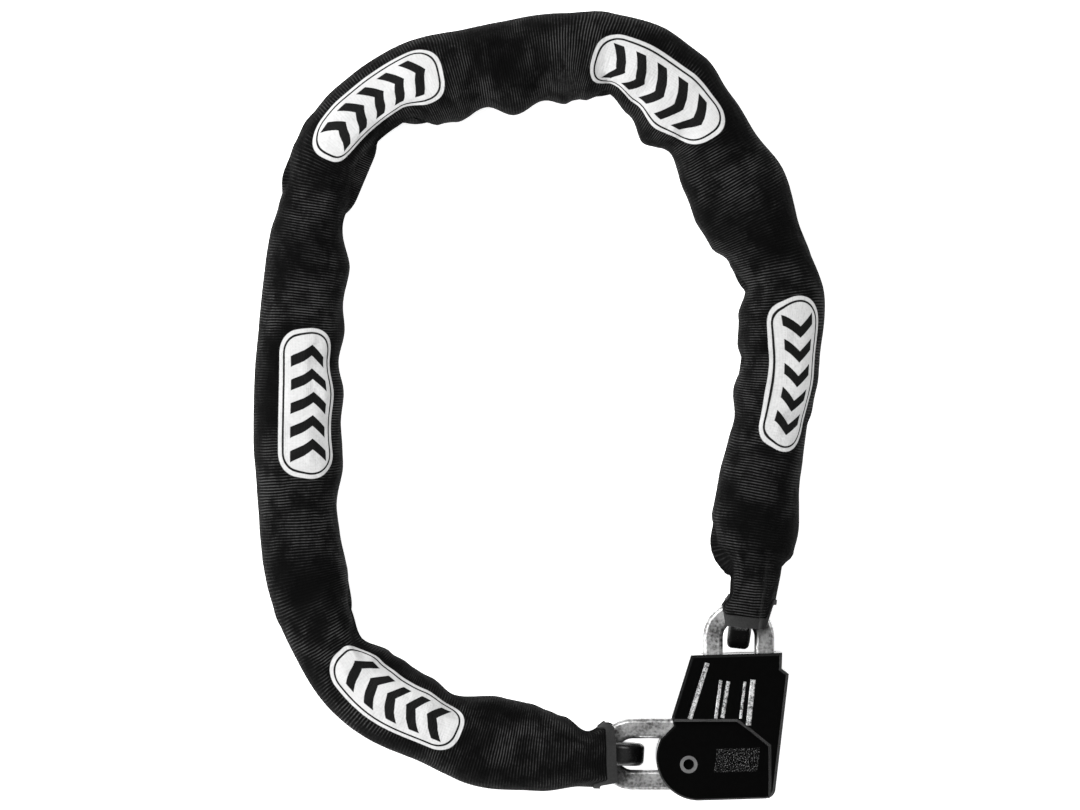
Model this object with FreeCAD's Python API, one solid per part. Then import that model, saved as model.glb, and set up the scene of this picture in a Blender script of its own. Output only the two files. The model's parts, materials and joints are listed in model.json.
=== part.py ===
# Chain lock: a square-bar chain in a fabric sleeve, with a lock body that holds both end links.
# Millimetres. The lock lies on its rear face on z = 0 and its front looks up along +Z. +Y is the way
# the free end link leaves the lock. The origin is under the middle of the free end link's slot.
import FreeCAD
import Part
import math
import os
from FreeCAD import Placement, Rotation, Vector

# ---- chain ----
BAR = 10.0                    # square bar of every link
BAR_EDGE = 2.0                # rounding of the bar's corners
LINK_WIDTH = 36.0
LINK_PITCH = 48.0             # between the crown bar centres of one link
LINK_COUNT = 25               # between the two end links: odd ones stand on edge, even ones lie flat
FLAT_STEP = 24.0              # crown to crown inside a flat link, before the slack is shared out
CHAIN_Z = 19.5                # the chain's middle plane
CAPTIVE_ARC = Vector(-27.4, -13.7, CHAIN_Z)   # captive end link: window arc centre inside the lock
FREE_ARC = Vector(0.0, 19.25, CHAIN_Z)        # free end link: the same
END_SPAN = 26.0               # between an end link's two arc centres
BOOT = 0.7                    # dipped rubber on the crowns that sit in the end links
BOOT_REACH = 9.0              # from the crown bar's centre along the legs

# the chain's middle line, from the captive end round to the free end
GUIDE = [(-53.4, -13.7), (-100, -10.8), (-131, -6.4), (-161, 4), (-188, 20.5), (-208, 42), (-217, 72),
         (-221.8, 112), (-222.3, 155), (-222, 192), (-219, 226), (-214, 262), (-203.5, 293),
         (-183.5, 315), (-154, 327), (-113, 337), (-72, 338.3), (-43, 327.5), (-20.5, 306.5),
         (-5, 281), (9, 254), (19, 228), (22.4, 203), (20.3, 179), (15.8, 152), (11.6, 126),
         (6.6, 100), (2.4, 74), (0, 45.25)]

# ---- sleeve ----
SLEEVE_WIDTH = 46.0
SLEEVE_HEIGHT = 39.0
SLEEVE_ROUND = 12.6
SLEEVE_WALL = 1.0
RUN_BREAKS = (0, 6, 12, 17)   # links where the lying run's three lengths start and end
FIRST_MOVING = 18             # index of the first link that moves when the free end is pulled
HINGE_GAP = 6.5               # bare chain on each side of a crown between sleeve lengths
CUFF_LEFT = (35.5, 8.0, 34.0)     # width, start and end along the first link, from its crown
CUFF_RIGHT = (27.0, 6.5, 33.0)
TAB_LENGTH = 8.0              # how far the cuffs' front and rear halves reach over the end links
TAB_GAP = 14.0                # between those halves

# ---- lock body ----
PARTING = CHAIN_Z
LOW_FACE = 41.0
LOW_EDGE = 0.8                # chamfer round the rear face and the low front face
HIGH_FACE = 46.0
HIGH_EDGE = 1.4               # chamfer round the raised part of the front
COVER_WALL = 2.0
SLOT_HALF_HEIGHT = 5.5
SLOT_SIDE = 0.8               # side clearance of the free end link
POCKET_SIDE = 1.2             # side clearance of the captive end link
ROOM_HALF = 30.0              # half the length of the rooms cut for the end links

# ---- cylinder and bolt ----
CYL_X, CYL_Z = 6.0, 30.0
HOUSING_R, HOUSING_BORE = 8.5, 6.5
PLUG_R, PLUG_BORE = 6.45, 5.4
FACE_Y, PLUG_Y, CAVITY_Y, FLANGE_Y, TAIL_Y = -34.1, -32.6, -28.4, -9.4, -4.0
DISC_R, DISC_THICK, DISC_PITCH, DISC_COUNT = 5.3, 2.0, 2.6, 7
KEYWAY = (3.2, 8.0)
SHAFT_R = 2.0
MODULE, TEETH = 0.75, 8
TOOTH_FOOT, TOOTH_PEAK = 0.5, 0.22   # half thickness of a slim tooth
RACK_DEPTH = 1.25
SIDEBAR_HALF, GROOVE_HALF, GROOVE_REACH = 0.8, 1.0, 7.6
SIDEBAR_Y, SPRING_Y = (-31.0, -6.8), (-30.2, -7.6)
PINION_Y = (17.2, 26.3)
BOLT_X = (-7.0, 2.2)
BOLT_Y = (17.0, 26.5)
BOLT_Z = (25.5, 42.5)
PIN_AT = Vector(-25.5, -18.2, 0)
PIN_R, PIN_NECK_R, RING_R = 3.0, 2.7, 4.4
PIN_FOOT, RING_FOOT = 4.0, 26.0
SCREWS = [(-6.8, -28.0), (16.4, -12.0), (-24.0, 14.0), (-21.3, 30.0)]
INLAYS = [((-16.2, 33.0), (-25.0, 4.8), 2.3), ((-9.4, 24.4), (-12.0, 5.0), 1.7),
          ((-5.6, 23.8), (-8.6, 5.4), 1.9), ((2.7, 23.6), (0.4, 5.0), 1.4),
          ((6.8, 24.6), (4.4, 1.6), 2.6)]     # top end, bottom end and width of each raised strip
SHIELD_PIVOT_Z, SHIELD_R = 17.5, 6.8

PARTS = {}


def save(name, shape):
    if not shape.isValid():
        raise RuntimeError(name + " is not valid")
    PARTS[name] = shape


def box(x, y, z):
    """A box from three (low, high) pairs."""
    corner = Vector(x[0], y[0], z[0])
    return Part.makeBox(x[1] - x[0], y[1] - y[0], z[1] - z[0], corner)


def rod(radius, start, end):
    """A cylinder between two points."""
    start, end = Vector(start), Vector(end)
    return Part.makeCylinder(radius, (end - start).Length, start, end - start)


def edges_at(shape, z):
    return [e for e in shape.Edges if abs(e.BoundBox.ZMin - z) < 1e-4 and abs(e.BoundBox.ZMax - z) < 1e-4]


def arc(a, mid, b):
    return Part.Arc(Vector(a), Vector(mid), Vector(b)).toShape()


def line(a, b):
    return Part.LineSegment(Vector(a), Vector(b)).toShape()


# ---- links ----
def stadium(half, radius):
    """Closed wire round two arc centres at x = -half and +half."""
    return Part.Wire([
        line((-half, radius, 0), (half, radius, 0)),
        arc((half, radius, 0), (half + radius, 0, 0), (half, -radius, 0)),
        line((half, -radius, 0), (-half, -radius, 0)),
        arc((-half, -radius, 0), (-half - radius, 0, 0), (-half, radius, 0))])


def link_blank(half, grow=0.0):
    """Flat link about its own middle, its long way along x; grow thickens the bar all round."""
    outer = LINK_WIDTH / 2
    top = BAR / 2 + grow
    ring = prism(Part.Face(stadium(half, outer + grow)), -top, top)
    ring = ring.cut(prism(Part.Face(stadium(half, outer - BAR - grow)), -top, top)).Solids[0]
    return ring.makeFillet(BAR_EDGE + grow, edges_at(ring, top) + edges_at(ring, -top))


def stand(middle, along, on_edge):
    """Placement of a link: its middle, its direction in plan, and whether it stands on edge."""
    turn = Rotation(Vector(0, 0, 1), math.degrees(math.atan2(along.y, along.x)))
    if on_edge:
        turn = turn.multiply(Rotation(Vector(1, 0, 0), 90))
    return Placement(middle, turn)


def chord_step(curve, start, length):
    """Parameter on the curve at a straight distance from a start parameter."""
    origin = curve.value(start)
    low, high = start, start
    while curve.value(high).sub(origin).Length < length:
        high += 0.01
    for _ in range(26):
        mid = (low + high) / 2
        if curve.value(mid).sub(origin).Length < length:
            low = mid
        else:
            high = mid
    return low


def walk(curve, flat_step):
    """Crown bar centres along the guide for one value of the flat links' step."""
    at = curve.FirstParameter
    points = [curve.value(at)]
    for i in range(LINK_COUNT):
        at = chord_step(curve, at, LINK_PITCH if i % 2 == 0 else flat_step)
        points.append(curve.value(at))
    return at, points


def crown_points():
    """Crown bar centres: 26 points from the captive end link to the free one.
    The links' slack is shared out so that the last point is on the free end link."""
    tail = Vector(GUIDE[-1][0] * 2 - GUIDE[-2][0], GUIDE[-1][1] * 2 - GUIDE[-2][1], CHAIN_Z)
    guide = [Vector(x, y, CHAIN_Z) for x, y in GUIDE]
    curve = Part.BSplineCurve()
    curve.interpolate(guide + [tail])
    goal = curve.parameter(guide[-1])
    low, high = FLAT_STEP * 0.8, FLAT_STEP * 1.15
    for _ in range(24):
        mid = (low + high) / 2
        end, points = walk(curve, mid)
        if end < goal:
            low = mid
        else:
            high = mid
    return mid, points


def make_links(crowns):
    blank = link_blank((LINK_PITCH + BAR - LINK_WIDTH) / 2)
    for i in range(LINK_COUNT):
        a, b = crowns[i], crowns[i + 1]
        piece = blank.copy()
        piece.Placement = stand((a + b) * 0.5, b - a, i % 2 == 0)
        save("chain_link_%02d" % (i + 1), piece)
    end_blank = link_blank(END_SPAN / 2)
    captive, free = end_blank.copy(), end_blank.copy()
    captive.Placement = stand(CAPTIVE_ARC - Vector(END_SPAN / 2, 0, 0), Vector(1, 0, 0), False)
    free.Placement = stand(FREE_ARC + Vector(0, END_SPAN / 2, 0), Vector(0, 1, 0), False)
    save("end_link_captive", captive)
    save("end_link_free", free)


def make_boot(name, link, crown, away):
    """Rubber dip round one crown of a link and the start of its legs."""
    half = (LINK_PITCH + BAR - LINK_WIDTH) / 2
    dip = link_blank(half, BOOT)
    dip.Placement = PARTS[link].Placement
    keep = rod(60, crown + away * 20, crown - away * BOOT_REACH)
    save(name, dip.common(keep).cut(PARTS[link]))


# ---- sleeve ----
def tube_section(width, height, rounding, at, along):
    """Rounded rectangle wire across a direction in plan, standing on z = 0 when it is full height."""
    w, h, r = width / 2 - rounding, height / 2 - rounding, rounding
    k = r * math.sin(math.pi / 4)
    corners = [(w, h), (-w, h), (-w, -h), (w, -h)]
    spins = [(1, 1), (-1, 1), (-1, -1), (1, -1)]
    arcs = []
    for (cx, cy), (sx, sy) in zip(corners, spins):
        ends = [(cx + sx * r, cy), (cx, cy + sy * r)]
        if sx * sy < 0:
            ends.reverse()
        arcs.append((ends[0], (cx + sx * k, cy + sy * k), ends[1]))
    edges = []
    for i, (a, m, b) in enumerate(arcs):
        edges.append(arc((0, *a), (0, *m), (0, *b)))
        following = arcs[(i + 1) % 4][0]
        edges.append(line((0, *b), (0, *following)))
    wire = Part.Wire(edges)
    wire.Placement = stand(at, along, False)
    return wire


def straight_tube(start, end, width):
    """Length of sleeve between two points."""
    along = end - start
    walls = []
    rounding = SLEEVE_ROUND * width / SLEEVE_WIDTH
    for inset in (0, SLEEVE_WALL):
        wire = tube_section(width - 2 * inset, SLEEVE_HEIGHT - 2 * inset, rounding - inset, start, along)
        walls.append(Part.Face(wire).extrude(along))
    return walls[0].cut(walls[1])


def bent_tube(points):
    """Sleeve along straight runs joined by tangent arcs."""
    edges, last = [], points[0]
    for before, corner, after in zip(points, points[1:], points[2:]):
        u, v = (before - corner).normalize(), (after - corner).normalize()
        turn = math.pi - u.getAngle(v)
        reach = 0.45 * min((before - corner).Length, (after - corner).Length)
        if turn < 0.004:
            continue
        radius = reach / math.tan(turn / 2)
        a, b = corner + u * reach, corner + v * reach
        bisector = (u + v).normalize()
        mid = corner + bisector * (radius / math.cos(turn / 2) - radius)
        edges += [line(last, a), arc(a, mid, b)]
        last = b
    edges.append(line(last, points[-1]))
    path = Part.Wire(edges)
    walls = []
    for inset in (0, SLEEVE_WALL):
        wire = tube_section(SLEEVE_WIDTH - 2 * inset, SLEEVE_HEIGHT - 2 * inset, SLEEVE_ROUND - inset,
                            points[0], points[1] - points[0])
        walls.append(path.makePipeShell([wire], True, True))
    return walls[0].cut(walls[1])


def make_run(crowns):
    """The part of the sleeve that stays put, in three lengths."""
    start = crowns[0] + (crowns[1] - crowns[0]) * (CUFF_LEFT[2] / LINK_PITCH)
    last_flat = crowns[FIRST_MOVING] - crowns[FIRST_MOVING - 1]
    stop = crowns[FIRST_MOVING] - last_flat.normalize() * HINGE_GAP
    middles = [(crowns[i] + crowns[i + 1]) * 0.5 for i in RUN_BREAKS]
    firsts = [start, middles[1], middles[2]]
    lasts = [middles[1], middles[2], stop]
    for n in range(3):
        inner = crowns[RUN_BREAKS[n] + 1:RUN_BREAKS[n + 1] + 1]
        save("sleeve_run_%d" % (n + 1), bent_tube([firsts[n]] + inner + [lasts[n]]))


def make_moving_sleeve(crowns):
    """One short length of sleeve on each link that moves."""
    for i in range(FIRST_MOVING, LINK_COUNT):
        a, b = crowns[i], crowns[i + 1]
        u = (b - a).normalize()
        end = b - u * (HINGE_GAP if i < LINK_COUNT - 1 else CUFF_RIGHT[2])
        save("sleeve_%02d" % (i + 1), straight_tube(a + u * HINGE_GAP, end, SLEEVE_WIDTH))


def make_cuff(name, crown, inward, sizes):
    """Narrow end of the sleeve with its hem. The side walls stop short of the end link's crown and
    only the front and rear halves reach over it."""
    width, start, end = sizes
    tube = straight_tube(crown + inward * start, crown + inward * end, width)
    side = Vector(-inward.y, inward.x, 0)
    window = Part.makeBox(TAB_LENGTH, 80, TAB_GAP)
    corner = crown + inward * start - side * 40 - Vector(0, 0, TAB_GAP / 2)
    window.Placement = stand(corner, inward, False)
    save(name, tube.cut(window))


# ---- lock body ----
def lock_outline():
    """Plan of the lock body: slanted left side, rounded nose at the lower left, straight right side."""
    return Part.Wire([
        line((-24.4, 36.8, 0), (21.5, 38.1, 0)),
        line((21.5, 38.1, 0), (21.2, 30.0, 0)),
        line((21.2, 30.0, 0), (24.8, 27.4, 0)),
        line((24.8, 27.4, 0), (18.0, -31.0, 0)),
        arc((18.0, -31.0, 0), (16.3, -34.0, 0), (12.6, -35.4, 0)),
        line((12.6, -35.4, 0), (-20.6, -36.4, 0)),
        arc((-20.6, -36.4, 0), (-36.9, -28.6, 0), (-39.6, -5.4, 0)),
        line((-39.6, -5.4, 0), (-33.0, 1.2, 0)),
        line((-33.0, 1.2, 0), (-34.1, 5.8, 0)),
        line((-34.1, 5.8, 0), (-24.4, 36.8, 0))])


def high_outline():
    """Plan of the raised part of the front: all of the upper end and a strip down the right side."""
    corners = [(-60, 60), (60, 60), (60, -60), (14.5, -60), (14.5, -9.0), (5.2, -1.4), (-1.4, 3.4),
               (-60, 3.4)]
    points = [Vector(x, y, 0) for x, y in corners]
    return Part.Face(Part.makePolygon(points + points[:1]))


def prism(face, low, high):
    solid = face.extrude(Vector(0, 0, high - low))
    solid.translate(Vector(0, 0, low))
    return solid


def lock_blanks():
    """Outer and inner forms of the two halves."""
    outer = Part.Face(lock_outline())
    inner = Part.Face(lock_outline().makeOffset2D(-COVER_WALL))
    high = high_outline()
    inner_high = Part.Face(high.OuterWire.makeOffset2D(-COVER_WALL))
    rear = prism(outer, 0, PARTING)
    rear = rear.makeChamfer(LOW_EDGE, edges_at(rear, 0))
    low = prism(outer, PARTING, LOW_FACE)
    low = low.makeChamfer(LOW_EDGE, edges_at(low, LOW_FACE))
    top = prism(outer.common(high).Faces[0], PARTING, HIGH_FACE)
    top = top.makeChamfer(HIGH_EDGE, edges_at(top, HIGH_FACE))
    front = low.fuse(top).removeSplitter()
    rear_core = prism(inner, COVER_WALL, PARTING)
    front_core = prism(inner, PARTING, LOW_FACE - COVER_WALL)
    high_core = prism(inner.common(inner_high).Faces[0], PARTING, HIGH_FACE - COVER_WALL)
    front_core = front_core.fuse(high_core)
    return rear, front, rear_core, front_core.removeSplitter()


def link_rooms():
    """Room for the two end links: the free one's slot opens upwards, the captive one's to the left."""
    z = (CHAIN_Z - SLOT_HALF_HEIGHT, CHAIN_Z + SLOT_HALF_HEIGHT)
    ends = [(FREE_ARC, Vector(0, 1, 0), SLOT_SIDE), (CAPTIVE_ARC, Vector(-1, 0, 0), POCKET_SIDE)]
    rooms = []
    for centre, away, side in ends:
        face = Part.Face(stadium(ROOM_HALF, LINK_WIDTH / 2 + side))
        middle = Vector(centre.x, centre.y, 0) + away * ROOM_HALF
        solid = prism(face, *z)
        solid.Placement = Placement(middle, Rotation(Vector(1, 0, 0), away)).multiply(solid.Placement)
        rooms.append(solid)
    return rooms[0].fuse(rooms[1])


def screw_rooms():
    """Shanks and heads of the four body screws."""
    solids = []
    for x, y in SCREWS:
        shank = rod(1.5, (x, y, COVER_WALL), (x, y, 34))
        solids.append(rod(2.7, (x, y, 0.3), (x, y, 2.3)).fuse(shank).removeSplitter())
    return solids


def tooth(base, tip, y, z):
    """One slim tooth pointing along +X; its base is sunk a little into what it stands on."""
    corners = [(base - 0.3, -TOOTH_FOOT), (tip, -TOOTH_PEAK), (tip, TOOTH_PEAK), (base - 0.3, TOOTH_FOOT)]
    points = [Vector(x, y[0], z + half) for x, half in corners]
    return Part.Face(Part.makePolygon(points + points[:1])).extrude(Vector(0, y[1] - y[0], 0))


def pinion():
    """Eight teeth; one points straight at the rack."""
    pitch_r = MODULE * TEETH / 2
    root, tip = pitch_r - 0.75, pitch_r + 0.6
    solid = rod(root, (CYL_X, PINION_Y[0], CYL_Z), (CYL_X, PINION_Y[1], CYL_Z))
    for k in range(TEETH):
        one = tooth(root, tip, (0, PINION_Y[1] - PINION_Y[0]), 0)
        one.rotate(Vector(0, 0, 0), Vector(0, 1, 0), 360.0 * k / TEETH)
        one.translate(Vector(CYL_X, PINION_Y[0], CYL_Z))
        solid = solid.fuse(one)
    return solid.removeSplitter()


def locking_bolt():
    """Square bolt with a rack on its right face, drawn back above the free end link."""
    pitch = math.pi * MODULE
    solid = box(BOLT_X, BOLT_Y, BOLT_Z)
    centre = CYL_Z - pitch * 1.5
    while centre < BOLT_Z[1] - TOOTH_FOOT:
        solid = solid.fuse(tooth(BOLT_X[1], BOLT_X[1] + RACK_DEPTH, BOLT_Y, centre))
        centre += pitch
    return solid.removeSplitter()


def on_axis(radius, y0, y1):
    """A rod on the cylinder's axis."""
    return rod(radius, (CYL_X, y0, CYL_Z), (CYL_X, y1, CYL_Z))


def across_axis(half, y, z):
    """A box about the cylinder's axis in X, with its heights counted from the axis."""
    return box((CYL_X - half, CYL_X + half), y, (CYL_Z + z[0], CYL_Z + z[1]))


def keyway(y0, y1):
    width, height = KEYWAY
    return across_axis(width / 2, (y0, y1), (-height / 2, height / 2))


def spring(y):
    """Coil spring under the sidebar, as a plain tube."""
    foot, top = Vector(CYL_X, y, CYL_Z + 2.6), Vector(CYL_X, y, CYL_Z + 4.3)
    return rod(0.75, foot, top), rod(0.4, foot, top)


def make_cylinder():
    """Disc cylinder on an axis along Y, its keyway in the lock's lower end."""
    housing = on_axis(HOUSING_R, FACE_Y + 0.1, TAIL_Y).cut(on_axis(HOUSING_BORE, -40, 0))
    groove_y = (SIDEBAR_Y[0] - 0.3, SIDEBAR_Y[1] + 0.3)
    grooves = across_axis(GROOVE_HALF, groove_y, (-GROOVE_REACH, GROOVE_REACH))
    grooves = grooves.cut(on_axis(HOUSING_BORE - 0.5, -32, -6))
    pin = rod(1.2, (CYL_X, -15, 4.0), (CYL_X, -15, CYL_Z - HOUSING_R + 0.9))
    save("cylinder_housing", housing.cut(grooves).cut(pin))
    save("cylinder_pin", pin)

    bar_slot = across_axis(GROOVE_HALF, (SIDEBAR_Y[0] - 0.2, SIDEBAR_Y[1] + 0.2), (4.1, 9))
    (front_spring, front_hole), (rear_spring, rear_hole) = spring(SPRING_Y[0]), spring(SPRING_Y[1])
    plug = on_axis(PLUG_R, PLUG_Y, TAIL_Y).cut(on_axis(PLUG_BORE, CAVITY_Y, 0))
    plug = plug.cut(keyway(PLUG_Y - 1, CAVITY_Y + 1)).cut(bar_slot).cut(front_spring)
    save("plug", plug)
    save("drill_plate", on_axis(PLUG_R - 0.05, FACE_Y, PLUG_Y).cut(keyway(-40, 0)))
    save("sidebar", across_axis(SIDEBAR_HALF, SIDEBAR_Y, (4.3, 6.3)))
    save("sidebar_springs", Part.makeCompound([front_spring.cut(front_hole), rear_spring.cut(rear_hole)]))
    discs = []
    for n in range(DISC_COUNT):
        y = CAVITY_Y + 0.3 + n * DISC_PITCH
        disc = on_axis(DISC_R, y, y + DISC_THICK).cut(keyway(y - 1, y + DISC_THICK + 1))
        discs.append(disc.cut(bar_slot))
    save("disc_pack", Part.makeCompound(discs))

    shaft = on_axis(DISC_R, FLANGE_Y, TAIL_Y).cut(bar_slot).cut(rear_spring)
    shaft = shaft.fuse(on_axis(SHAFT_R, TAIL_Y - 1, PINION_Y[1])).fuse(pinion())
    save("pinion_shaft", shaft.removeSplitter())
    save("locking_bolt", locking_bolt())


def make_shield():
    """Keyhole shield: a small plate that swings aside on a rivet below the keyhole."""
    y = (-35.3, -34.3)
    swing = CYL_Z - SHIELD_PIVOT_Z
    plate = rod(SHIELD_R, (CYL_X, y[0], CYL_Z), (CYL_X, y[1], CYL_Z))
    plate = plate.fuse(rod(4.0, (CYL_X, y[0], SHIELD_PIVOT_Z), (CYL_X, y[1], SHIELD_PIVOT_Z)))
    plate = plate.fuse(across_axis(4.0, y, (-swing, 0))).removeSplitter()
    pip = rod(0.9, (CYL_X, y[0] - 0.5, CYL_Z + 4.2), (CYL_X, y[0] + 0.2, CYL_Z + 4.2))
    bore = rod(1.56, (CYL_X, -40, SHIELD_PIVOT_Z), (CYL_X, -30, SHIELD_PIVOT_Z))
    rivet = rod(1.5, (CYL_X, -35.4, SHIELD_PIVOT_Z), (CYL_X, -28, SHIELD_PIVOT_Z))
    head = rod(2.8, (CYL_X, -35.9, SHIELD_PIVOT_Z), (CYL_X, -35.35, SHIELD_PIVOT_Z))
    save("keyhole_shield", plate.fuse(pip).cut(bore).removeSplitter())
    save("shield_rivet", rivet.fuse(head).removeSplitter())


def strip(a, b, width, low, high):
    """Straight inlay strip between two plan points."""
    start = Vector(a[0], a[1], low)
    along = Vector(b[0], b[1], low) - start
    bar = Part.makeBox(along.Length, width, high - low, Vector(0, -width / 2, 0))
    bar.Placement = stand(start, along, False)
    return bar


def pin_rod(radius, low, high):
    """A rod on the captive pin's axis."""
    return rod(radius, PIN_AT + Vector(0, 0, low), PIN_AT + Vector(0, 0, high))


def make_lock():
    """The two steel halves, their covers and what is set into them."""
    rear, front, rear_core, front_core = lock_blanks()
    rooms = link_rooms()
    screws = screw_rooms()
    heads = Part.makeCompound(screws)
    pin_neck = pin_rod(PIN_NECK_R, RING_FOOT, LOW_FACE - 3.2)
    pin = pin_rod(PIN_R, PIN_FOOT, RING_FOOT).fuse(pin_neck).removeSplitter()
    ring_room = pin_rod(RING_R, RING_FOOT, LOW_FACE + 0.3)
    shield_room = box((CYL_X - 20.5, CYL_X + 7.4), (-45, -34.0), (SHIELD_PIVOT_Z - 8, CYL_Z + 8))
    inlays = [strip(a, b, width, HIGH_FACE - 0.6, HIGH_FACE + 0.5) for a, b, width in INLAYS]
    inlays = [s.makeChamfer(0.3, edges_at(s, HIGH_FACE + 0.5)) for s in inlays]

    bolt_y = (BOLT_Y[0] - 0.1, BOLT_Y[1] + 0.1)
    bolt_room = box((BOLT_X[0] - 0.1, BOLT_X[1] + 0.1), bolt_y, (20, BOLT_Z[1] + 0.6))
    rack_room = box((BOLT_X[1], BOLT_X[1] + 1.7), bolt_y, (22, BOLT_Z[1] + 0.6))
    works = on_axis(HOUSING_R, -40, TAIL_Y).fuse(on_axis(SHAFT_R + 0.1, TAIL_Y - 1, PINION_Y[1]))
    works = works.fuse(on_axis(4.0, PINION_Y[0] - 0.3, PINION_Y[1] + 0.3)).fuse(bolt_room).fuse(rack_room)

    rear_cover = rear.cut(rear_core).cut(rooms).cut(heads).cut(shield_room)
    save("rear_cover", rear_cover.cut(PARTS["shield_rivet"]))
    cover = front.cut(front_core).cut(rooms).cut(ring_room).cut(shield_room).cut(works)
    save("front_cover", cover.cut(Part.makeCompound(inlays)))
    body_rear = rear_core.cut(rooms).cut(heads).cut(pin)
    save("body_rear", body_rear.cut(PARTS["cylinder_pin"]).cut(PARTS["shield_rivet"]))
    body_front = front_core.cut(rooms).cut(heads).cut(pin)
    save("body_front", body_front.cut(ring_room).cut(works).cut(PARTS["cylinder_pin"]))
    save("body_screws", Part.makeCompound(screws))
    save("captive_pin", pin)
    save("pin_ring", ring_room.cut(pin_rod(PIN_NECK_R, 0, 60)))
    save("rib_inlays", Part.makeCompound(inlays))


def main():
    os.makedirs("parts", exist_ok=True)
    step, crowns = crown_points()
    make_links(crowns)
    first = (crowns[1] - crowns[0]).normalize()
    last = (crowns[-2] - crowns[-1]).normalize()
    make_boot("link_boot_left", "chain_link_01", crowns[0], first * -1)
    make_boot("link_boot_right", "chain_link_25", crowns[-1], last * -1)
    make_run(crowns)
    make_moving_sleeve(crowns)
    make_cuff("sleeve_cuff_left", crowns[0], first, CUFF_LEFT)
    make_cuff("sleeve_cuff_right", crowns[-1], last, CUFF_RIGHT)
    make_cylinder()
    make_shield()
    make_lock()
    for name, shape in PARTS.items():
        shape.exportStep("parts/" + name + ".step")
    print("nodes", len(PARTS), "flat link step %.2f mm" % step)
    return crowns


CROWNS = main()
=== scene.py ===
# A chain lock: square-bar links in a ribbed fabric sleeve, with a black lock body. Metres throughout.
import json
import math

import bpy
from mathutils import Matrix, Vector, noise


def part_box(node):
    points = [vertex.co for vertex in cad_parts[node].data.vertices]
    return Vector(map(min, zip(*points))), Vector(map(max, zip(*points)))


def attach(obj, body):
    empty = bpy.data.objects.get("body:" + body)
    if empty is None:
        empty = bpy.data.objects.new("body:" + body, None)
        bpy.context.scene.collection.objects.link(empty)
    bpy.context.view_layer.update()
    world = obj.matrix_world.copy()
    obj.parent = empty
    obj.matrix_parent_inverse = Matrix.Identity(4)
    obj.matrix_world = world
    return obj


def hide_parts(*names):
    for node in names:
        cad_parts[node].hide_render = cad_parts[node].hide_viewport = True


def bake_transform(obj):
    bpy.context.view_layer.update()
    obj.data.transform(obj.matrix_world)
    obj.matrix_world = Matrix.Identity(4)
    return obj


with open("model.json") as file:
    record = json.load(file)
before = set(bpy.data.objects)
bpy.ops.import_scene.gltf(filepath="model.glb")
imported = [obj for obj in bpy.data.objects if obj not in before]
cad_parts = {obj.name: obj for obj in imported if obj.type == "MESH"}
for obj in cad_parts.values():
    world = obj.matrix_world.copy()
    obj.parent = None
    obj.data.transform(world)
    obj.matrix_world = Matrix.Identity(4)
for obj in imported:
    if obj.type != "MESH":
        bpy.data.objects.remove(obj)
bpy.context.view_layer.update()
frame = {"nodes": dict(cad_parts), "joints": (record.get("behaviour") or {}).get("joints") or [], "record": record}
nodes = frame["nodes"]

MM = 0.001
LINKS = 25
FIRST_MOVING = 19             # the first link that swings when the free end is pulled out
LYING = "lock_and_run"        # the body that lies still
LAST = "chain_25"             # the body that carries the free end
CHAIN_Z = 19.5 * MM


def pick_none():
    bpy.ops.object.select_all(action="DESELECT")


# ---------------------------------------------------------------- finishes
class Value:
    """A socket of a finish's node tree; arithmetic on it adds Math nodes."""

    def __init__(self, finish, socket):
        self.finish, self.socket = finish, socket

    def math(self, operation, *others):
        values = {0: self}
        values.update({i + 1: other for i, other in enumerate(others)})
        return self.finish.node("ShaderNodeMath", {"operation": operation}, values)

    def __add__(self, other):
        return self.math("ADD", other)

    def __mul__(self, other):
        return self.math("MULTIPLY", other)

    def __sub__(self, other):
        return self.math("SUBTRACT", other)

    def __truediv__(self, other):
        return self.math("DIVIDE", other)

    def __rsub__(self, other):
        return self.math("MULTIPLY_ADD", -1.0, other)

    __radd__ = __add__
    __rmul__ = __mul__

    def step(self, low, high):
        """0 below low and 1 above high, smooth between; low may be the larger."""
        values = {"Value": self, "From Min": low, "From Max": high}
        return self.finish.node("ShaderNodeMapRange", {"interpolation_type": "SMOOTHSTEP"}, values)


class Finish:
    """A material: one Principled shader and the nodes that vary it."""

    def __init__(self, name, **sockets):
        self.material = bpy.data.materials.new(name)
        self.material.use_nodes = True
        self.tree = self.material.node_tree
        self.shader = self.tree.nodes["Principled BSDF"]
        self.feed(self.shader, sockets)

    def feed(self, target, values):
        for key, value in values.items():
            socket = target.inputs[key.replace("_", " ") if isinstance(key, str) else key]
            if isinstance(value, Value):
                self.tree.links.new(value.socket, socket)
            else:
                socket.default_value = value

    def node(self, kind, settings=None, values=None, out=0):
        made = self.tree.nodes.new(kind)
        for key, value in (settings or {}).items():
            setattr(made, key, value)
        self.feed(made, values or {})
        return Value(self, made.outputs[out])

    def vary(self, **sockets):
        self.feed(self.shader, sockets)

    def place(self):
        return self.node("ShaderNodeTexCoord", out=3)

    def grain(self, scale, detail=3.0, rough=0.5, at=None):
        values = {"Vector": at or self.place(), "Scale": scale, "Detail": detail, "Roughness": rough}
        return self.node("ShaderNodeTexNoise", None, values)

    def split(self, vector):
        """The first two parts of a vector."""
        made = self.tree.nodes.new("ShaderNodeSeparateXYZ")
        self.feed(made, {0: vector})
        return Value(self, made.outputs[0]), Value(self, made.outputs[1])

    def blend(self, mask, dark, light):
        """Colour between two colours by a mask."""
        return self.node("ShaderNodeMix", {"data_type": "RGBA"}, {0: mask, 6: dark, 7: light}, out=2)

    def bump(self, height, distance, strength=1.0):
        values = {"Height": height, "Distance": distance, "Strength": strength}
        self.vary(Normal=self.node("ShaderNodeBump", None, values))


def grey(level, warm=0.0):
    return (level * (1 + warm), level, level * (1 - warm), 1.0)


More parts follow.
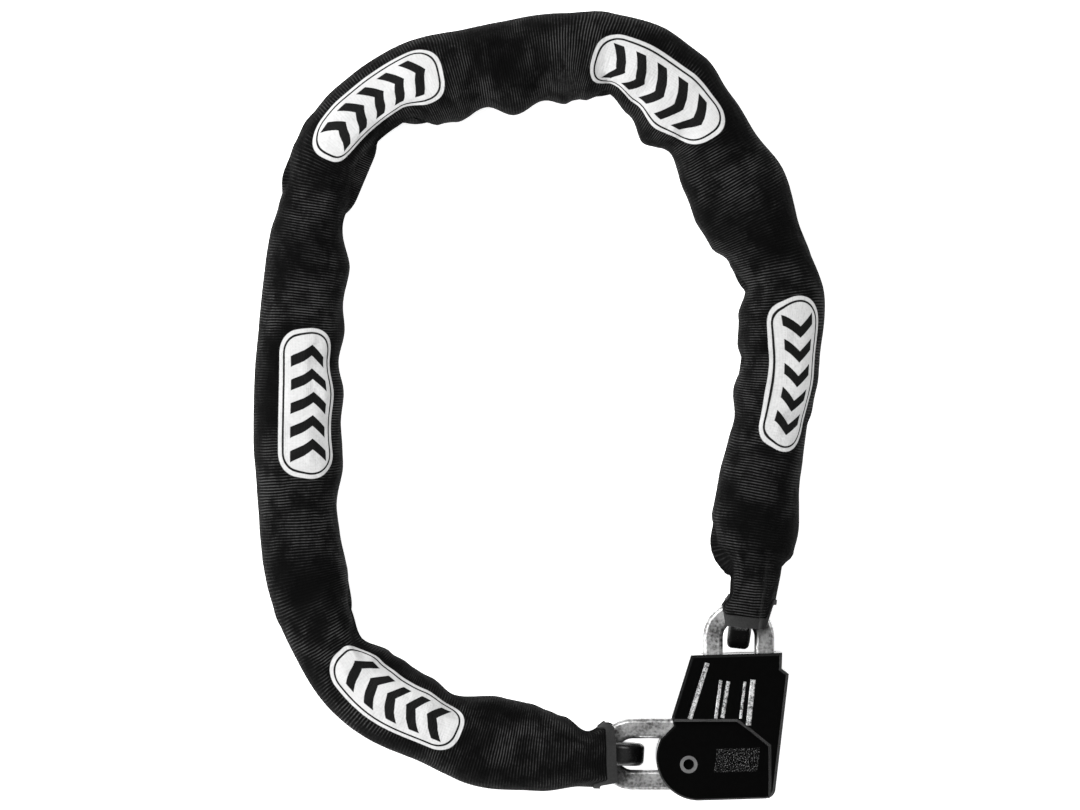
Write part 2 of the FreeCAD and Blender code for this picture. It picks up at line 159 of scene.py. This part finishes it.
def zinc_plate():
    """Speckled zinc on the links: pale crystals over darker metal."""
    f = Finish("zinc_plate", Metallic=0.72)
    crystals = f.node("ShaderNodeTexVoronoi", {"feature": "F1"}, {"Vector": f.place(), "Scale": 560.0})
    fine = f.grain(760.0, 4.0, 0.7)
    cloud = f.grain(95.0, 3.0)
    mask = (crystals * 0.35 + fine * 0.9 + cloud * 1.1 - 0.75).step(0.05, 0.85)
    f.vary(Base_Color=f.blend(mask, grey(0.05, 0.02), grey(0.58)), Roughness=0.42 - mask * 0.12)
    f.bump(fine * 0.7 + crystals * 0.3, 0.00016, 0.7)
    return f.material


STIPPLE_MIDDLE = (-1.2 * MM, -16.0 * MM)
STIPPLE_HALF = (10.8 * MM, 5.9 * MM)
STIPPLE_LEAN = (0.12, 0.03)


def gloss_black(name="gloss_black", stippled=False):
    """Moulded black plastic, wet shine over a faint orange peel. The front carries a stippled panel."""
    f = Finish(name, Coat_Weight=0.12, Coat_Roughness=0.1, IOR=1.36)
    peel = f.grain(420.0, 2.0)
    dust = f.grain(1500.0, 4.0, 0.7)
    light = dust.step(0.66, 0.9) * 0.2
    if stippled:
        x, y = f.split(f.place())
        x, y = x - STIPPLE_MIDDLE[0], y - STIPPLE_MIDDLE[1]
        off_x = (x - y * STIPPLE_LEAN[0]).math("ABSOLUTE") / STIPPLE_HALF[0]
        off_y = (y - x * STIPPLE_LEAN[1]).math("ABSOLUTE") / STIPPLE_HALF[1]
        panel = off_x.step(1.02, 0.98) * off_y.step(1.03, 0.97)
        specks = f.grain(1900.0, 2.0, 0.6).step(0.56, 0.68)
        light = light + panel * specks
    f.vary(Base_Color=f.blend(light, grey(0.001), grey(0.13)), Roughness=0.11 + peel * 0.07 + light * 0.25)
    f.bump(peel + dust * 0.25 + light * 0.6, 0.00008, 0.5)
    return f.material


def speckled_silver():
    """Worn silver on the raised ribs, the black showing through in specks."""
    f = Finish("speckled_silver")
    specks = f.grain(1500.0, 3.0, 0.75)
    patches = f.grain(330.0, 2.0)
    mask = (specks * 0.8 + patches * 0.35).step(0.46, 0.68)
    f.vary(Base_Color=f.blend(mask, grey(0.012), grey(0.62)), Metallic=mask * 0.75)
    f.vary(Roughness=0.62 - mask * 0.2)
    f.bump(specks, 0.00018, 0.8)
    return f.material


def dipped_rubber():
    """Soft black rubber, faintly uneven where it ran off the steel."""
    f = Finish("dipped_rubber", IOR=1.48)
    skin = f.grain(300.0, 3.0)
    f.vary(Base_Color=f.blend(skin, grey(0.002), grey(0.008)), Roughness=0.2 + skin * 0.12)
    f.bump(skin, 0.0003, 0.5)
    return f.material


def turned_metal(name, dark, light, rough):
    """Machined metal with fine tool lines."""
    f = Finish(name, Metallic=1.0)
    lines = f.node("ShaderNodeMapping", None, {"Vector": f.place(), "Scale": (40.0, 900.0, 40.0)})
    lines = f.grain(1.0, 4.0, 0.6, at=lines)
    stain = f.grain(90.0, 3.0)
    f.vary(Base_Color=f.blend(lines * 0.6 + stain * 0.4, dark, light), Roughness=rough + stain * 0.15)
    f.bump(lines, 0.00005, 0.4)
    return f.material


def lacquered_steel():
    """Cast steel under black lacquer, its pits showing."""
    f = Finish("lacquered_steel", Coat_Weight=0.3, Coat_Roughness=0.2)
    pits = f.grain(700.0, 4.0, 0.7)
    f.vary(Base_Color=f.blend(pits, grey(0.003), grey(0.02)), Roughness=0.36 + pits * 0.2)
    f.bump(pits, 0.0002, 0.5)
    return f.material


RIB_PITCH = 1.38 * MM
YARN_PITCH = 0.9 * MM
# badges printed along the sleeve: distance to the middle of the first, and from one to the next
PRINT_FIRST, PRINT_STEP = 126 * MM, 160 * MM
PRINT_HALF, PRINT_ROUND = 24.5 * MM, 13.2 * MM      # half the straight part, and the radius of the ends
PRINT_SHIFT = [(0, 0), (125, 1), (292, -6), (453, -7), (600, 6), (764, 2), (900, 0)]   # uneven spacing, mm
PRINTED_FROM, PRINTED_TO = 30 * MM, 860 * MM
LINE_OUTER, LINE_INNER = 1.8 * MM, 3.1 * MM         # the thin line, in from the badge's edge
CHEVRONS, CHEVRON_STEP = 5, 11.8 * MM
CHEVRON_LEAN, CHEVRON_SHIFT, CHEVRON_REACH = 0.8, 3 * MM, 7.8 * MM
CHEVRON_BAR = 0.23            # half a bar's width, as a share of the step


def ribbed_weave():
    """Black ribbed sleeve fabric with pale reflective badges. The rib tops carry a painted sheen, which
    painted shade of folds and creases darkens in patches. The UV map holds metres: across from the
    sleeve's crest, and along from the captive crown."""
    f = Finish("ribbed_weave", Specular_IOR_Level=0.06)
    plan = f.node("ShaderNodeUVMap", {"uv_map": "cloth"})
    across, along = f.split(plan)
    wander = f.grain(55.0, 2.0, at=plan) - 0.5
    thread = f.node("ShaderNodeMapping", None, {"Vector": plan, "Scale": (900.0, 300.0, 1.0)})
    thread = f.grain(1.0, 2.0, at=thread)
    rib = ((along + wander * (1.6 * MM)) * (math.tau / RIB_PITCH)).math("SINE") * 0.5 + 0.5
    yarn = (across * (math.tau / YARN_PITCH)).math("SINE") * 0.5 + 0.5
    fuzz = f.grain(900.0, 4.0, 0.7, at=plan)
    # painted shade: broad random patches that darken the rib sheen, standing in for the shade of folds
    painted_fold_shade = f.grain(28.0, 3.0, at=plan)
    # crumples: a bump in the relief, and in the colour a painted shade that darkens the sheen in small patches
    crumple_relief_and_shade = f.grain(100.0, 3.0, 0.55, at=plan).step(0.3, 0.64)
    # painted highlight: the rib tops are lightened as if catching light, varied at random by thread and fuzz
    shine = rib * rib * (0.3 + thread * 1.2) * (0.25 + painted_fold_shade.step(0.32, 0.68))
    shine = shine * (0.4 + crumple_relief_and_shade * 0.75) * (0.7 + fuzz * 0.6)
    # cloth colour: near-black, with the painted rib sheen on top
    cloth = f.blend(shine.step(0.08, 1.2), grey(0.0006), grey(0.044))

    # a badge is a pale stadium with a thin dark line round a row of chevrons
    aside = across.math("ABSOLUTE")
    x = (((along - PRINT_FIRST) / PRINT_STEP + 0.5).math("FRACT") - 0.5) * PRINT_STEP
    over = (x.math("ABSOLUTE") - PRINT_HALF).math("MAXIMUM", 0.0)
    reach = (over * over + across * across).math("SQRT")
    field = reach.step(PRINT_ROUND + 0.2 * MM, PRINT_ROUND - 0.2 * MM)
    field = field * (along - PRINTED_FROM).step(0.0, MM) * (PRINTED_TO - along).step(0.0, MM)
    line = reach.step(PRINT_ROUND - LINE_OUTER, PRINT_ROUND - LINE_OUTER - 0.3 * MM)
    line = line * reach.step(PRINT_ROUND - LINE_INNER, PRINT_ROUND - LINE_INNER + 0.3 * MM)
    sweep = (x + aside * CHEVRON_LEAN - CHEVRON_SHIFT) / CHEVRON_STEP
    bar = ((sweep + 0.5).math("FRACT") - 0.5).math("ABSOLUTE").step(CHEVRON_BAR + 0.01, CHEVRON_BAR - 0.01)
    bar = bar * aside.step(CHEVRON_REACH, CHEVRON_REACH - 0.3 * MM)
    bar = bar * sweep.math("ABSOLUTE").step(CHEVRONS / 2, CHEVRONS / 2 - 0.02)
    pale = f.blend(fuzz, grey(0.40), grey(0.60))
    badge = f.blend(line.math("MAXIMUM", bar), pale, grey(0.005))
    f.vary(Base_Color=f.blend(field, cloth, badge), Roughness=0.86 - field * 0.28)
    relief = rib * (1 - field * 0.7) + yarn * 0.25 + fuzz * 0.5 + crumple_relief_and_shade * 3.0
    f.bump(relief, 0.22 * MM, 0.8)
    return f.material


def hem_tape():
    """Dull woven tape on the hems."""
    f = Finish("hem_tape", Specular_IOR_Level=0.2)
    weave = f.grain(1600.0, 2.0)
    band = f.grain(130.0, 2.0)
    mask = weave * 0.6 + band * 0.4
    f.vary(Base_Color=f.blend(mask, grey(0.004), grey(0.034)), Roughness=0.8 + band * 0.1)
    f.bump(weave, 0.0002, 0.8)
    return f.material


# ---------------------------------------------------------------- where the chain lies
def middle(node):
    low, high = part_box(node)
    return (low + high) / 2


def flat(v):
    return Vector((v.x, v.y, 0.0))


captive_low, captive_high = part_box("end_link_captive")
free_low, free_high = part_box("end_link_free")
ARC = 18 * MM                 # every link: half its width, and the radius of its crowns
crown_start = Vector((captive_low.x + ARC, (captive_low.y + captive_high.y) / 2, 0))
crown_end = Vector(((free_low.x + free_high.x) / 2, free_high.y - ARC, 0))
mids = [flat(middle("chain_link_%02d" % (i + 1))) for i in range(LINKS)]
hinges = {j["child"]: Vector(j["pos_m"]) for j in frame["joints"] if j["child"].startswith("chain_")}


class Path:
    """Smooth middle line through the links' middles, measured from the captive crown."""

    def __init__(self, points, pieces=24):
        points = [points[0] * 2 - points[1]] + points + [points[-1] * 2 - points[-2]]
        self.line = []
        self.knots = []
        for a, b, c, d in zip(points, points[1:], points[2:], points[3:]):
            self.knots.append(len(self.line))
            for k in range(pieces):
                t = k / pieces
                bend = (a * 2 - b * 5 + c * 4 - d) * t * t + (b * 3 - a - c * 3 + d) * t ** 3
                self.line.append((b * 2 + (c - a) * t + bend) / 2)
        self.knots.append(len(self.line))
        self.line.append(points[-2])
        self.far = [0.0]
        for a, b in zip(self.line, self.line[1:]):
            self.far.append(self.far[-1] + (b - a).length)

    def at(self, s):
        """Point and direction at a distance, straight on past either end."""
        s_in = min(max(s, 0.0), self.far[-1] - 1e-9)
        low, high = 0, len(self.far) - 1
        while high - low > 1:
            mid = (low + high) // 2
            if self.far[mid] <= s_in:
                low = mid
            else:
                high = mid
        a, b = self.line[low], self.line[high]
        way = (b - a).normalized()
        return a + way * (s - self.far[low]), way

    def knot(self, i):
        return self.far[self.knots[i]]


path = Path([crown_start] + mids + [crown_end])
LENGTH = path.far[-1]
crowns = [crown_start]
for each in mids:
    crowns.append(each * 2 - crowns[-1])


def follow(table, s):
    """Smooth value of a (distance mm, value mm) table."""
    s = s / MM
    for (a, p), (b, q) in zip(table, table[1:]):
        if s <= b:
            t = min(max((s - a) / (b - a), 0.0), 1.0)
            return (p + (q - p) * t * t * (3 - 2 * t)) * MM
    return table[-1][1] * MM


# ---------------------------------------------------------------- sleeve
# half widths from the links' middle line to the loop's outer and inner edges, by distance along, in mm
OUTER = [(0, 18), (25, 18.2), (46, 21.5), (75, 24), (108, 21.2), (150, 23.2), (190, 21), (220, 21.2),
         (290, 22.8), (340, 21), (375, 20.8), (388, 19.6), (402, 18), (416, 20.5), (440, 23),
         (475, 23.2), (505, 20.8), (550, 22), (566, 25.5), (590, 29), (610, 27), (628, 21.8), (643, 21),
         (668, 25), (697, 19.6), (728, 24.8), (762, 21), (784, 18.2), (812, 20), (842, 23.4),
         (853, 22.4), (861, 17.2), (880, 16.4), (910, 14.5)]
INNER = [(0, 17), (12, 17.4), (24, 10.6), (36, 17), (55, 22), (72, 22.4), (97, 16.2), (112, 20.8),
         (134, 21.4), (146, 19.5), (163, 11.8), (178, 14.6), (203, 21), (237, 17.8), (262, 22.6),
         (280, 21.8), (296, 23), (313, 19.6), (328, 22.2), (345, 20.6), (362, 21.6), (385, 14.8),
         (399, 17), (413, 14.6), (428, 12), (447, 11), (461, 12), (476, 21.5), (490, 24.2), (507, 20.2),
         (521, 26.2), (536, 21.6), (550, 24.4), (566, 20.5), (579, 12.8), (594, 18.5), (611, 26.6),
         (632, 20.8), (655, 24), (672, 26.4), (688, 26), (703, 19.5), (718, 14.2), (733, 19.4),
         (748, 20.4), (758, 18.4), (774, 21.8), (790, 19), (820, 21.4), (838, 21), (851, 17.2),
         (862, 8.2), (877, 7.4), (884, 11.4), (889, 9.6), (910, 9.6)]
TWIST = [(0, 0), (125, -2.0), (292, -5.7), (453, 4.3), (600, -1.0), (764, 9.2), (860, 3), (910, 0)]
# folds that run in from an edge: distance along, depth, side (-1 inner, 1 outer) and lean across the sleeve
FOLDS = [(24, 4.0, -1, 4), (97, 3.0, -1, -9), (140, 1.6, -1, 8), (163, 4.5, -1, -12), (190, 1.8, 1, 8),
         (237, 2.6, -1, 10), (281, 1.6, -1, -8), (313, 2.4, -1, 9), (335, 1.8, -1, -7),
         (385, 3.6, -1, 8), (402, 3.4, 1, -10), (413, 3.0, -1, -8), (447, 4.5, -1, 12),
         (507, 2.8, -1, -10), (536, 2.2, -1, 7), (579, 5.5, -1, -9), (591, 3.2, -1, 11),
         (632, 2.6, -1, -8), (650, 2.0, -1, 9), (697, 3.2, 1, -7), (703, 2.6, -1, 8),
         (718, 4.8, -1, -12), (757, 3.0, -1, 8), (784, 3.8, 1, 10), (790, 2.2, -1, -7),
         (815, 1.6, -1, 7), (858, 3.4, -1, -4), (858, 4.0, 1, -3)]
AROUND = 96                   # points round the sleeve
RING_STEP = 2.4 * MM
PERIMETER = 146 * MM          # the flat cloth, once round
FLOOR, TOP = 0.4 * MM, 39.4 * MM
WALL = 0.9 * MM
FULL_WIDE, FULL_HIGH = 0.74, 0.8              # powers below 1 make the section fuller than an ellipse
HEM_LEFT, SIDE_LEFT = 6.0 * MM, 15.5 * MM     # where the front and the side walls of the sleeve end
HEM_RIGHT, SIDE_RIGHT = LENGTH - 5.5 * MM, LENGTH - 18.5 * MM
HEM_SLANT = 5.0 * MM          # the left hem leans back towards the inside of the loop
HEM_WIDTH, HEM_PROUD, HEM_WALL, HEM_STEP = 5.5 * MM, 0.7 * MM, 1.2 * MM, 1.1 * MM
HEMS = [                      # name, where it starts and ends, its body and the node it stands for
    ("hem_left", HEM_LEFT, HEM_LEFT + HEM_WIDTH, LYING, "sleeve_cuff_left"),
    ("hem_right", HEM_RIGHT - HEM_WIDTH, HEM_RIGHT, LAST, "sleeve_cuff_right")]
NECK = 30 * MM
PLEAT_LONG, PLEAT_EASE = 44 * MM, 8 * MM      # the neck's spare width, laid back on its outer side
PLEAT_EDGE, PLEAT_STEP, PLEAT_DROP = 9 * MM, 1.6 * MM, 9 * MM
BAR_HALF = 5 * MM
LINK_HALF = 11 * MM           # from a link's middle to the centres of its round ends
CLEAR = 1.7 * MM              # outer face of the sleeve off the steel
TAPER = 2.5                   # how fast that clearance fades above and below a flat link
SHOULDER = 1.3                # how steeply it falls off beside an upright link
CROWN_REACH = 9 * MM          # the length of cloth on each side of a moving crown


def wave(s, q, pitch, seed):
    return noise.noise(Vector((s / pitch, q, seed)))


def folded(s, across):
    """Depth of the folds at a place; across runs from -1 at the inner edge to 1 at the outer one."""
    depth = 0.0
    for at, deep, side, lean in FOLDS:
        near = (1 + side * across) / 2
        width = 3.2 + 8.5 * (1 - near)
        gap = (s / MM - at - lean * (1 - near)) / width
        if abs(gap) < 3:
            depth += deep * near ** 1.4 * math.exp(-gap * gap)
    return depth * MM


def softly_over(value, least, ease):
    """The larger of two heights with the corner between them eased."""
    gap = (value - least) / ease
    return value if gap > 20 else least + ease * math.log1p(math.exp(gap))


def clear_of_links(point, s):
    """Push a point of the sleeve off the nearest links: flat ones spread it, upright ones lift it."""
    first = min(range(LINKS), key=lambda i: abs(path.knot(i + 1) - s))
    for i in (first - 1, first, first + 1):
        if not 0 <= i < LINKS:
            continue
        u = (crowns[i + 1] - crowns[i]).normalized()
        rel = flat(point) - mids[i]
        along = rel.dot(u)
        if i % 2:
            beside = rel - u * min(max(along, -LINK_HALF), LINK_HALF)
            over = max(0.0, abs(point.z - CHAIN_Z) - BAR_HALF - 0.5 * MM)
            need = ARC + CLEAR - TAPER * over
            if over < 5 * MM and 1e-6 < beside.length < need:
                point = point + beside * (need / beside.length - 1)
        elif point.z > CHAIN_Z:
            past = max(0.0, abs(along) - LINK_HALF)
            shoulder = max(0.0, (rel - u * along).length - BAR_HALF) * SHOULDER
            if past < ARC + CLEAR:
                rise = math.sqrt((ARC + CLEAR) ** 2 - past * past)
                point.z = softly_over(point.z, CHAIN_Z + rise - shoulder, 0.5 * MM)
    return point


def section(s, turn, swell=0.0):
    """One point of the sleeve: distance along, and angle round from the outer side over the top."""
    here, way = path.at(s)
    out = Vector((-way.y, way.x, 0))
    side, rise = math.cos(turn), math.sin(turn)
    half = follow(OUTER, s) if side > 0 else follow(INNER, s)
    across = math.copysign(abs(side) ** FULL_WIDE, side)
    x = half * across
    centre = (TOP + FLOOR) / 2
    z = centre + (TOP - FLOOR) / 2 * math.copysign(abs(rise) ** FULL_HIGH, rise)
    upper = max(0.0, rise)
    soft = wave(s + 12 * MM * side, 0.8 * side, 34 * MM, 7.7)
    wrinkle = wave(s - 9 * MM * side, 1.6 * side + rise, 13 * MM, 3.1)
    fine = wave(s, 2.2 * turn, 5 * MM, 12.3)
    fold = (2.4 * soft + (1.0 - 0.5 * side) * wrinkle + 0.25 * fine) * MM
    x += (fold * 0.35 + swell) * side
    z += (fold + 0.8 * MM) * upper + swell * rise - folded(s, across) * upper ** 0.6 * 1.5
    if s > LENGTH - PLEAT_LONG:
        laid = min((s - LENGTH + PLEAT_LONG) / PLEAT_EASE, 1.0)
        z -= laid * upper * PLEAT_DROP * min(max((x - PLEAT_EDGE) / PLEAT_STEP, 0.0), 1.0)
    z = max(z, FLOOR - swell * 0.2)
    point = clear_of_links(here + out * x + Vector((0, 0, z)), s)
    return point + Vector((0, 0, swell * upper))


def mouth(s, turn):
    """Distance along, drawn back at the side walls so that the mouths clear the end links."""
    open_side = 1 - min(max((abs(math.sin(turn)) - 0.45) / 0.3, 0.0), 1.0)
    ease = open_side * open_side * (3 - 2 * open_side)
    if s < NECK:
        slant = HEM_SLANT * 0.5 * (1 - math.cos(turn)) * (1 - ease)
        return s + ((SIDE_LEFT - HEM_LEFT) * ease + slant) * (NECK - s) / (NECK - HEM_LEFT)
    if s > LENGTH - NECK:
        return s + (SIDE_RIGHT - HEM_RIGHT) * ease * (s - LENGTH + NECK) / (HEM_RIGHT - LENGTH + NECK)
    return s


def tube(name, start, end, swell=0.0, wall=WALL, spacing=RING_STEP):
    """A length of sleeve as a closed-walled tube, with its cloth map."""
    rings = max(2, round((end - start) / spacing))
    verts, faces, maps = [], [], []
    for i in range(rings + 1):
        s = start + (end - start) * i / rings
        for k in range(AROUND):
            turn = math.tau * k / AROUND - math.pi / 2
            verts.append(section(mouth(s, turn), turn, swell))
    for i in range(rings):
        for k in range(AROUND):
            corners = ((i, k), (i, k + 1), (i + 1, k + 1), (i + 1, k))
            faces.append([row * AROUND + column % AROUND for row, column in corners])
            for row, column in corners:
                s = start + (end - start) * row / rings
                across = (column / AROUND - 0.5) * PERIMETER + follow(TWIST, s)
                maps.append((across, s + follow(PRINT_SHIFT, s)))
    mesh = bpy.data.meshes.new(name)
    mesh.from_pydata(verts, [], faces)
    layer = mesh.uv_layers.new(name="cloth")
    for loop, place in zip(layer.data, maps):
        loop.uv = place
    piece = bpy.data.objects.new(name, mesh)
    bpy.context.scene.collection.objects.link(piece)
    pick_none()
    piece.select_set(True)
    bpy.context.view_layer.objects.active = piece
    thick = piece.modifiers.new("wall", "SOLIDIFY")
    thick.thickness, thick.offset = wall, -1.0
    bpy.ops.object.modifier_apply(modifier="wall")
    bpy.ops.object.shade_smooth_by_angle(angle=math.radians(50))
    return piece


def dress(piece, material):
    piece.data.materials.clear()
    piece.data.materials.append(material)


def make_sleeve(cloth, tape):
    """One lying length, a length across each moving crown, and the neck at the free end."""
    knots = [path.knot(i + 1) for i in range(LINKS)]
    cuts = [HEM_LEFT] + knots[FIRST_MOVING - 2:] + [HEM_RIGHT]
    for name, start, end, body, node in HEMS:
        hem = tube(name, start, end, HEM_PROUD, HEM_WALL, HEM_STEP)
        dress(hem, tape)
        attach(hem, body)
        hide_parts(node)
    for n, (start, end) in enumerate(zip(cuts, cuts[1:])):
        piece = tube("sleeve_%d" % (n + 1), start, end)
        dress(piece, cloth)
        if n == 0:
            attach(piece, LYING)
            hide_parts("sleeve_run_1", "sleeve_run_2", "sleeve_run_3")
        elif n == len(cuts) - 2:
            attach(piece, LAST)
        else:
            link = FIRST_MOVING - 1 + n
            body = "chain_%02d" % link
            before = LYING if n == 1 else "chain_%02d" % (link - 1)
            reach = path.at((start + end) / 2)[1] * CROWN_REACH
            hinges[body] - reach
            hinges[body] + reach
            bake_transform(piece)
            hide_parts("sleeve_%02d" % link)
        turns = [math.tau * k / AROUND for k in range(AROUND)]
        cut = sum(mouth(end, t) - mouth(start, t) for t in turns) / AROUND * PERIMETER
        end - start


# ---------------------------------------------------------------- finishes on the metal and plastic parts
def finish_nodes():
    zinc = zinc_plate()
    rubber = dipped_rubber()
    ground = turned_metal("ground_steel", grey(0.2), grey(0.45), 0.28)
    brass = turned_metal("turned_brass", (0.42, 0.28, 0.09, 1), (0.75, 0.56, 0.24, 1), 0.24)
    by_slot = {"link_steel": zinc, "boot_rubber": rubber, "cover_plastic": gloss_black(),
               "inlay_silver": speckled_silver(), "body_steel": lacquered_steel(), "hard_steel": ground,
               "shield_black": rubber, "cylinder_brass": brass}
    by_node = {"front_cover": gloss_black("gloss_black_front", stippled=True),
               "captive_pin": gloss_black("black_oxide"),
               "pin_ring": turned_metal("worn_ring", grey(0.09), grey(0.28), 0.36)}
    for entry in frame["record"]["subparts"]:
        material = by_node.get(entry["node"]) or by_slot.get(entry["material_slot"])
        if material:
            mesh = nodes[entry["node"]].data
            mesh.materials.clear()
            mesh.materials.append(material)


# ---------------------------------------------------------------- studio
VIEW_X, VIEW_Y = -100.3 * MM, 162.6 * MM
VIEW_WIDTH = 545.5 * MM       # seen at the chain's height
VIEW_FAR = 5.0                # far off, so that the lock shows hardly any of its sides
SENSOR = 36
DOME_LOW, DOME_OVERHEAD = 0.38, 0.025
LAMPS = [                     # name, place, size, watts
    ("key", (-1.1, 0.9, 2.0), 1.7, 72),
    ("rake", (-2.3, -0.3, 0.9), 0.6, 42),
    ("fill", (1.7, 0.7, 1.3), 0.8, 10),
    ("low", (0.2, -1.8, 1.1), 0.8, 12)]


def make_camera():
    camera = bpy.data.objects.new("camera", bpy.data.cameras.new("camera"))
    bpy.context.scene.collection.objects.link(camera)
    camera.location = (VIEW_X, VIEW_Y, CHAIN_Z + VIEW_FAR)
    camera.data.sensor_width = SENSOR
    camera.data.lens = SENSOR * VIEW_FAR / VIEW_WIDTH
    bpy.context.scene.camera = camera


def make_floor():
    pick_none()
    bpy.ops.mesh.primitive_plane_add(size=6, location=(VIEW_X, VIEW_Y, -0.4 * MM))
    floor = bpy.context.object
    floor.name = "floor"
    bpy.ops.object.transform_apply()
    paper = Finish("paper", Roughness=0.9, Specular_IOR_Level=0.1, Emission_Strength=0.95)
    white = paper.blend(paper.grain(6.0, 2.0), grey(0.84), grey(0.88))
    paper.vary(Base_Color=white, Emission_Color=white)
    floor.data.materials.append(paper.material)


def make_dome():
    """Bright low down and dim overhead, so that black gloss stays black from above."""
    world = bpy.data.worlds.new("studio")
    bpy.context.scene.world = world
    world.use_nodes = True
    tree = world.node_tree
    place = tree.nodes.new("ShaderNodeTexCoord")
    height = tree.nodes.new("ShaderNodeSeparateXYZ")
    fade = tree.nodes.new("ShaderNodeMapRange")
    fade.interpolation_type = "SMOOTHSTEP"
    stops = {"From Min": 0.98, "From Max": 0.55, "To Min": DOME_OVERHEAD, "To Max": DOME_LOW}
    for socket, value in stops.items():
        fade.inputs[socket].default_value = value
    tree.links.new(place.outputs["Generated"], height.inputs[0])
    tree.links.new(height.outputs[2], fade.inputs["Value"])
    tree.links.new(fade.outputs[0], tree.nodes["Background"].inputs[1])
    tree.nodes["Background"].inputs[0].default_value = (1, 1, 1, 1)


def make_lamps():
    for name, place, size, watts in LAMPS:
        lamp = bpy.data.objects.new(name, bpy.data.lights.new(name, "AREA"))
        bpy.context.scene.collection.objects.link(lamp)
        lamp.data.size, lamp.data.energy = size, watts
        lamp.location = place
        aim = Vector((VIEW_X, VIEW_Y, 0)) - lamp.location
        lamp.rotation_euler = aim.to_track_quat("-Z", "Y").to_euler()


make_camera()
make_floor()
make_dome()
make_lamps()
bpy.context.scene.view_settings.view_transform = "Standard"
finish_nodes()
make_sleeve(ribbed_weave(), hem_tape())
